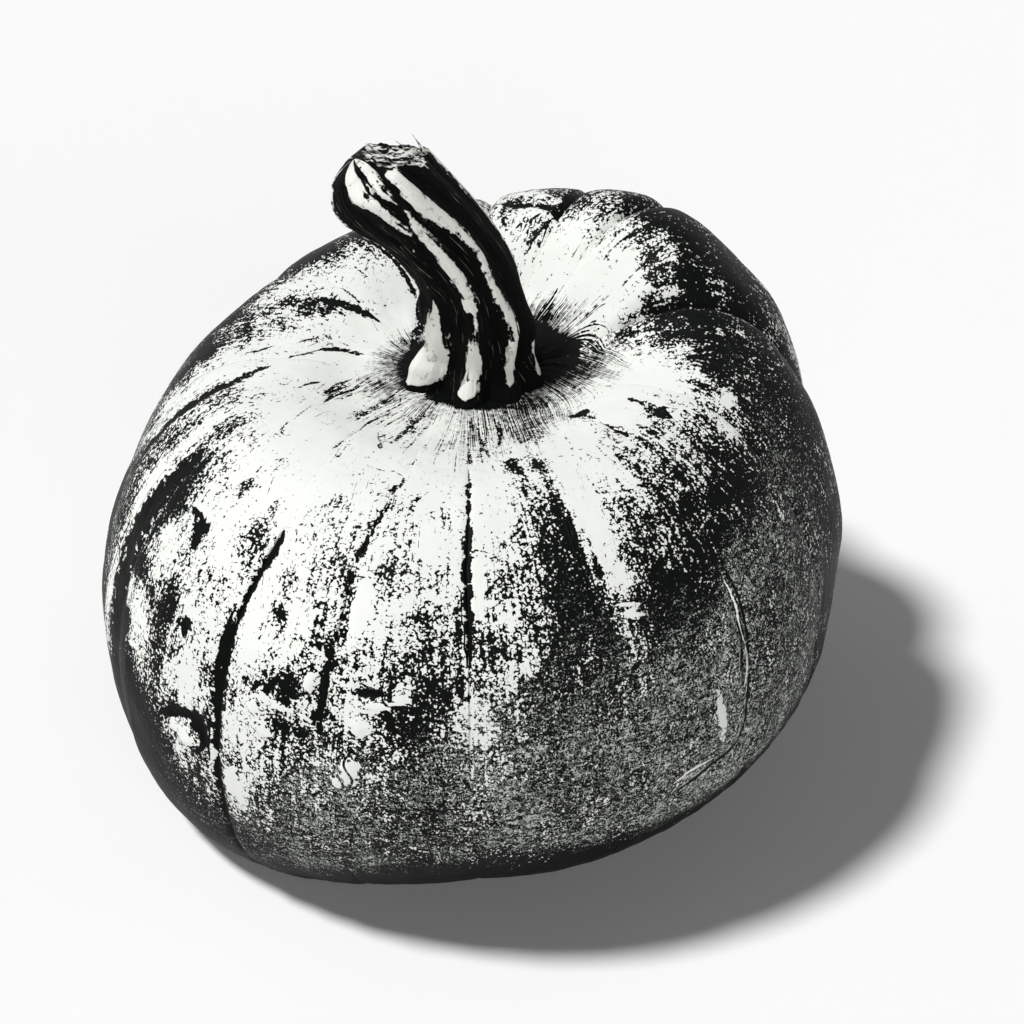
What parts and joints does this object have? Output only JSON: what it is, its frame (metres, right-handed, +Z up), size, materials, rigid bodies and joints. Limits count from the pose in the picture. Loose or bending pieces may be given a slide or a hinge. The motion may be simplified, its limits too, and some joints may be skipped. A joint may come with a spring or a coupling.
{
  "type": "buttercup squash",
  "caption": "Whole buttercup squash as picked: a squat, ribbed winter squash with a mottled rind and a thick ridged stem that leans to one side; stands on a small flat spot.",
  "frame": {"origin": "on the floor, under the middle of the bounding box; the flat spot lies round it", "axes": "+Z up; the stem leans towards -X, the high shoulders are at the back right, +X +Y, and -Y is the front"},
  "size_m": [0.1798, 0.1796, 0.1595],
  "materials": {
    "rind": "hard, slightly waxy rind, near-black green broken by pale blotches and streaks",
    "stem_skin": "dry dark stem with pale corky ridges"
  },
  "bodies": {
    "root": {"fruit": "rind", "stem": "stem_skin"}
  },
  "joints": []
}
